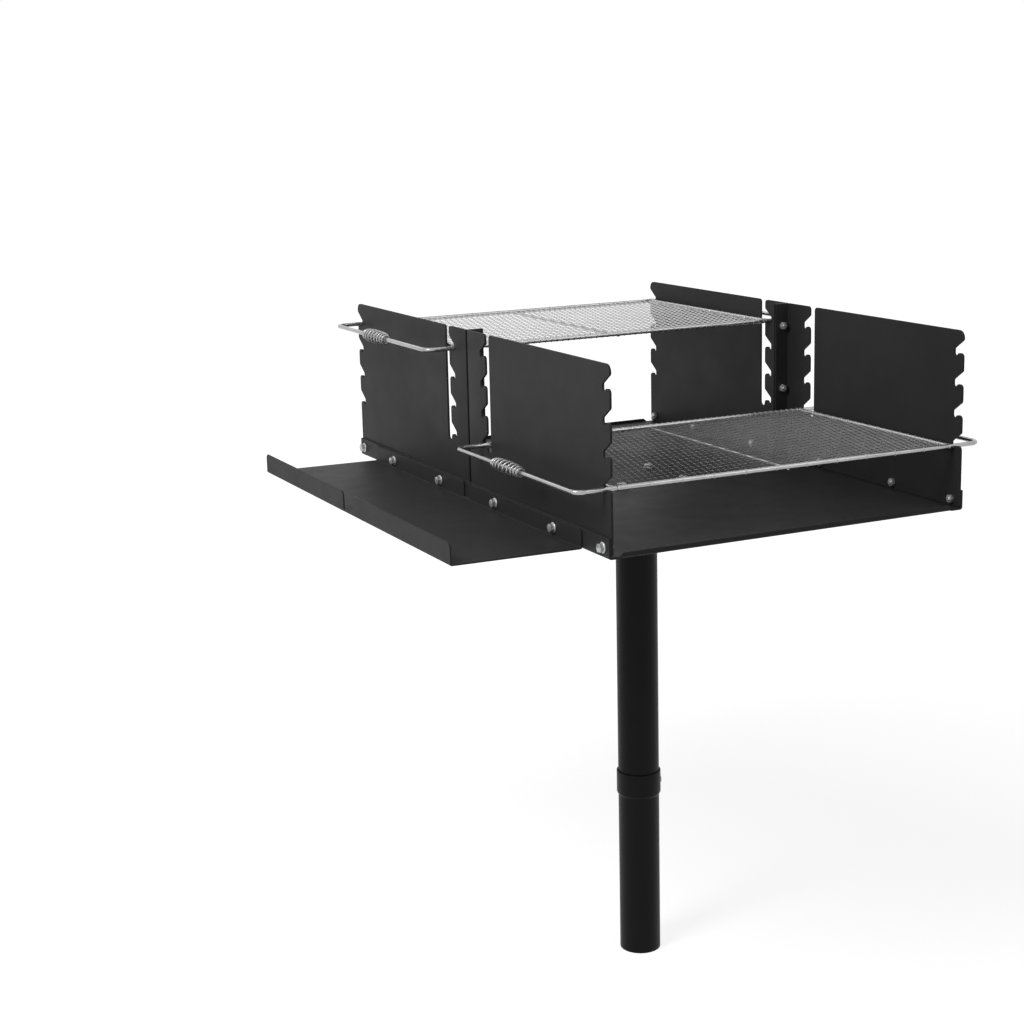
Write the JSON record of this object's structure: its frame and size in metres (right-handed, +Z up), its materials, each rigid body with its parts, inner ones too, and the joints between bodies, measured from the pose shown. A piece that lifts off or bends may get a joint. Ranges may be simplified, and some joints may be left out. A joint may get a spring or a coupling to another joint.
{
  "type": "park bbq grill pedestal",
  "caption": "Public charcoal grill: an open-ended fire tray with notched walls, height-set wire grates and a side shelf, turning on an in-ground post.",
  "frame": {"origin": "centre of the post at ground level", "axes": "+Z up along the post, -Y towards the cook at the front grate, -X towards the side shelf"},
  "size_m": [0.7506, 0.8, 0.955],
  "materials": {
    "black_coat": "matt black powder coat on bent sheet",
    "black_tube": "satin black powder coat on steel tube",
    "bright_wire": "bright stainless wire",
    "grate_net": "stainless expanded mesh",
    "zinc": "bright zinc plating, lightly weathered",
    "bare_steel": "bare drawn steel tube"
  },
  "bodies": {
    "ground": {"ground_post": "black_tube", "lock_screw": "zinc"},
    "upper": {"upper_post": "black_tube", "spigot_tube": "bare_steel", "post_plate": "black_coat", "fire_tray": "black_coat", "side_shelf": "black_coat", "left_front_wall": "black_coat", "left_rear_wall": "black_coat", "right_front_wall": "black_coat", "right_rear_wall": "black_coat", "left_flange_bolt_1": "zinc", "left_flange_nut_1": "zinc", "left_flange_bolt_2": "zinc", "left_flange_nut_2": "zinc", "left_flange_bolt_3": "zinc", "left_flange_nut_3": "zinc", "left_flange_bolt_4": "zinc", "left_flange_nut_4": "zinc", "left_flange_bolt_5": "zinc", "left_flange_nut_5": "zinc", "left_flange_bolt_6": "zinc", "left_flange_nut_6": "zinc", "left_seam_bolt_1": "zinc", "left_seam_nut_1": "zinc", "left_seam_bolt_2": "zinc", "left_seam_nut_2": "zinc", "right_flange_bolt_1": "zinc", "right_flange_nut_1": "zinc", "right_flange_bolt_2": "zinc", "right_flange_nut_2": "zinc", "right_flange_bolt_3": "zinc", "right_flange_nut_3": "zinc", "right_flange_bolt_4": "zinc", "right_flange_nut_4": "zinc", "right_flange_bolt_5": "zinc", "right_flange_nut_5": "zinc", "right_flange_bolt_6": "zinc", "right_flange_nut_6": "zinc", "right_seam_bolt_1": "zinc", "right_seam_nut_1": "zinc", "right_seam_bolt_2": "zinc", "right_seam_nut_2": "zinc", "plate_bolt_1": "zinc", "plate_nut_1": "zinc", "plate_bolt_2": "zinc", "plate_nut_2": "zinc", "plate_bolt_3": "zinc", "plate_nut_3": "zinc", "plate_bolt_4": "zinc", "plate_nut_4": "zinc"},
    "front_grate": {"front_grate_frame": "bright_wire", "front_grate_net": "grate_net", "front_left_handle": "bright_wire", "front_right_handle": "bright_wire"},
    "rear_grate": {"rear_grate_frame": "bright_wire", "rear_grate_net": "grate_net", "rear_left_handle": "bright_wire", "rear_right_handle": "bright_wire"}
  },
  "joints": [
    {"name": "post_swivel", "type": "hinge", "parent": "ground", "child": "upper", "pos_m": [0, 0, 0.26], "axis": [0, 0, 1], "continuous": true},
    {"name": "front_grate_lift", "type": "slide", "parent": "upper", "child": "front_grate", "axis": [0, -0.7431, 0.6691], "range_m": [0, 0.0255]},
    {"name": "rear_grate_lift", "type": "slide", "parent": "upper", "child": "rear_grate", "axis": [0, 0.7431, 0.6691], "range_m": [0, 0.0255]}
  ]
}
